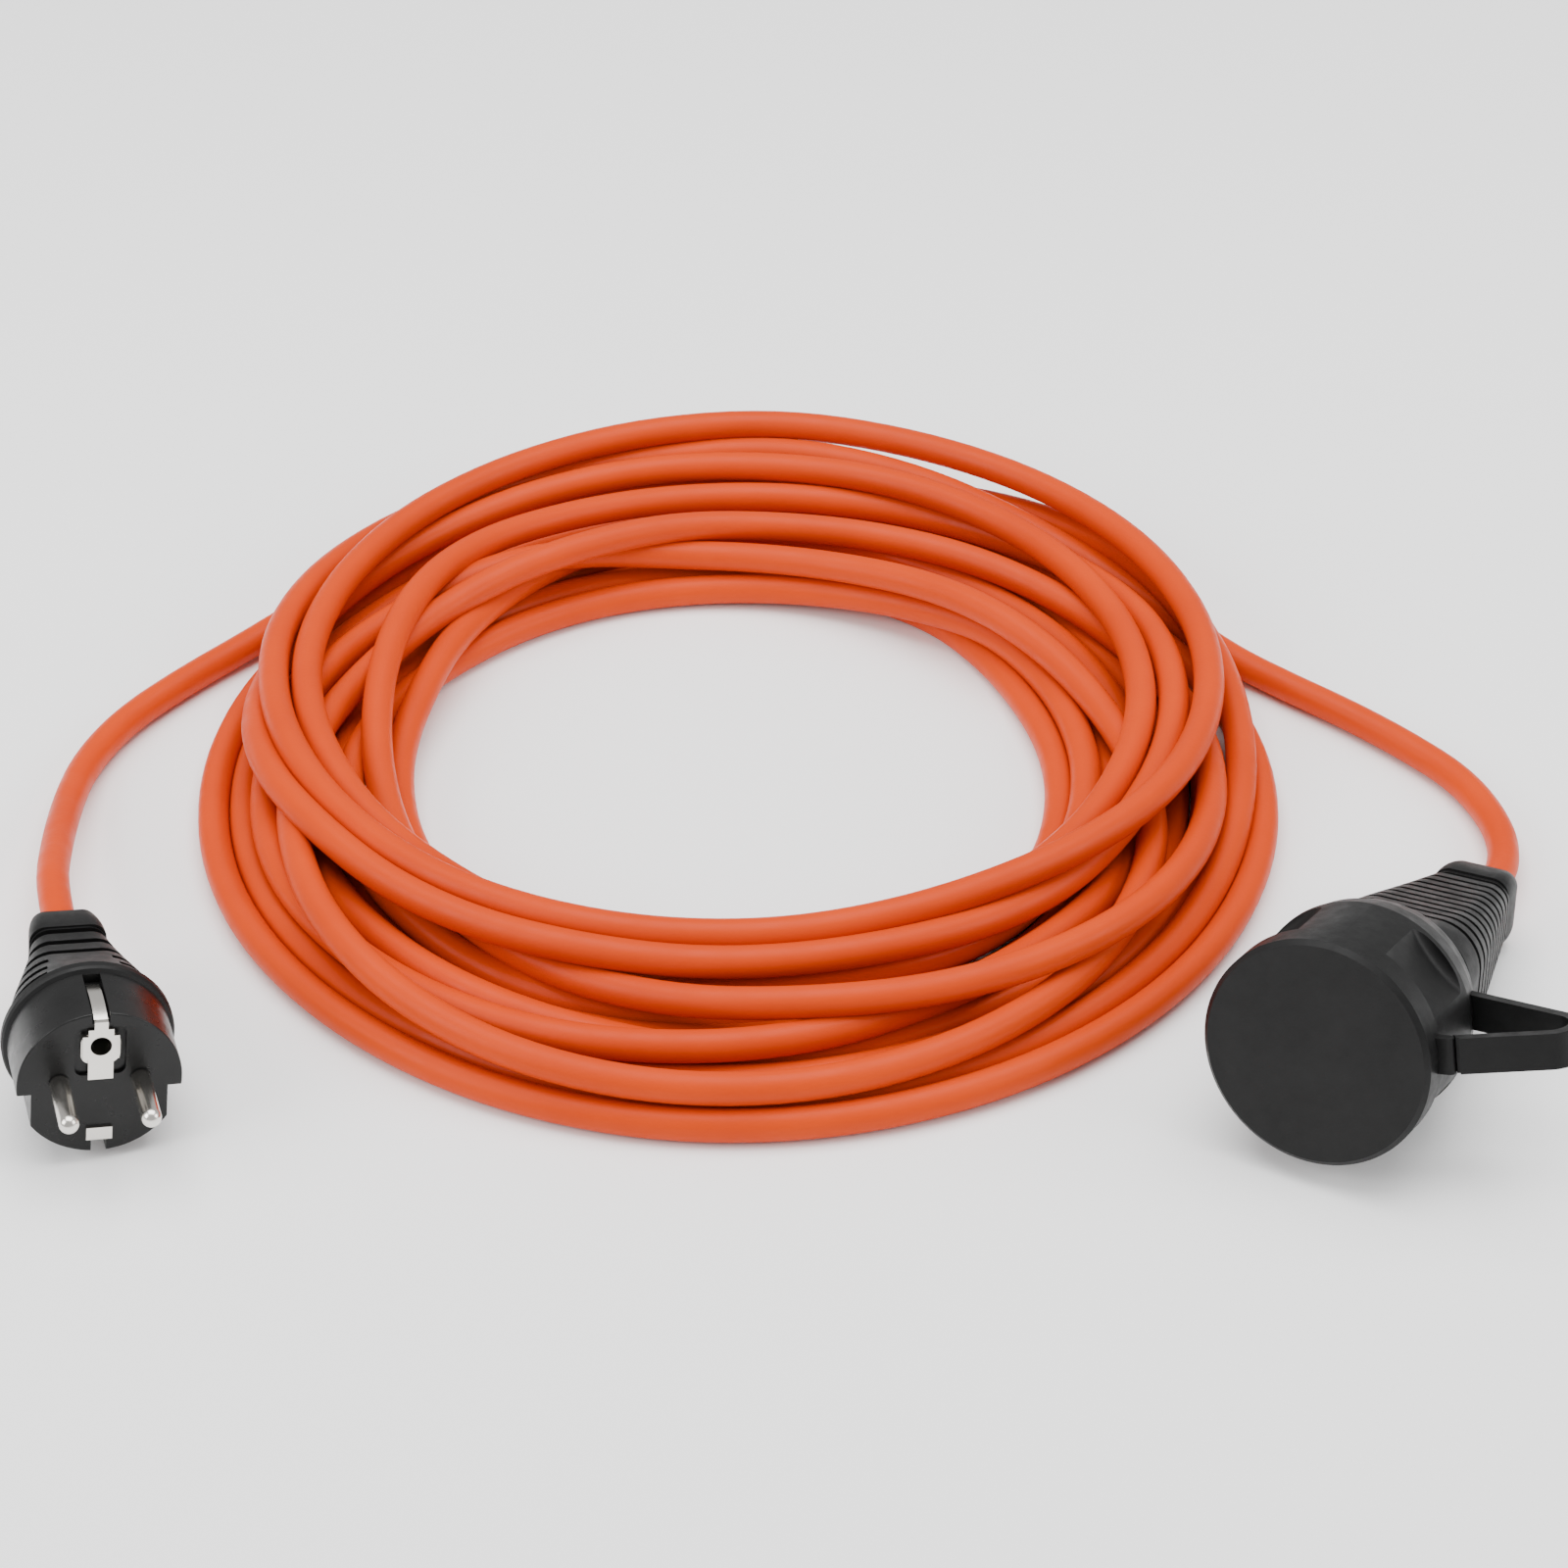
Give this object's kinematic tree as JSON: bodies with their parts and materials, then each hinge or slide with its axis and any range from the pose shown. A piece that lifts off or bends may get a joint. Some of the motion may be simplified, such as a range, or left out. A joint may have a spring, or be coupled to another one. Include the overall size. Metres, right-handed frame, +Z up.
{
  "type": "extension cord",
  "caption": "Orange extension cord in a loose round coil, with a moulded black earthed plug and a rubber coupler with a tethered hinged cap.",
  "frame": {"origin": "middle of the common footprint of the plug and the coupler, on the surface that everything lies on", "axes": "+X from the plug towards the coupler, +Y from the connectors towards the coil, +Z up"},
  "size_m": [0.3846, 0.3206, 0.0606],
  "materials": {
    "orange_sheath": "satin PVC cable sheath, signal orange",
    "black_rubber": "satin moulded rubber, black",
    "black_plastic": "hard moulded plastic, black",
    "nickel": "nickel plated, lightly worn",
    "brass": "plain brass",
    "grey_plastic": "hard moulded plastic, grey",
    "spring_steel": "drawn spring wire",
    "core_live": "PVC core insulation, brown",
    "core_neutral": "PVC core insulation, blue",
    "core_earth": "PVC core insulation, green and yellow"
  },
  "bodies": {
    "root": {"plug_body": "black_rubber", "plug_front_insert": "black_plastic", "plug_pin_live": "nickel", "plug_pin_neutral": "nickel", "plug_earth_bracket": "nickel", "plug_earth_sleeve": "nickel", "plug_crimps": "brass", "plug_core_earth": "core_earth", "plug_core_neutral": "core_neutral", "plug_core_live": "core_live", "plug_sheath_end": "orange_sheath", "socket_body": "black_rubber", "socket_front_insert": "black_plastic", "socket_contact_carrier": "grey_plastic", "socket_contact_live": "brass", "socket_contact_neutral": "brass", "socket_earth_bracket": "nickel", "socket_crimps": "brass", "socket_core_earth": "core_earth", "socket_core_neutral": "core_neutral", "socket_core_live": "core_live", "socket_sheath_end": "orange_sheath", "shutter_spring": "spring_steel", "cap_strap": "black_rubber", "cord_plug_run": "orange_sheath", "cord_socket_run": "orange_sheath", "cord_coil": "orange_sheath"},
    "cap": {"cap_lid": "black_rubber"},
    "shutter": {"shutter_disc": "grey_plastic"}
  },
  "joints": [
    {"name": "cap_hinge", "type": "hinge", "parent": "root", "child": "cap", "pos_m": [0.15329, -0.04882, 0.03941], "axis": [-0.1133, 0.3064, 0.9451], "range_deg": [0, 110]},
    {"name": "shutter_turn", "type": "hinge", "parent": "root", "child": "shutter", "pos_m": [0.13512, -0.02117, 0.02827], "axis": [-0.4913, -0.8441, 0.2147], "range_deg": [0, 36], "stiffness_Nm_per_rad": 0.002, "springref_deg": -20.05}
  ]
}
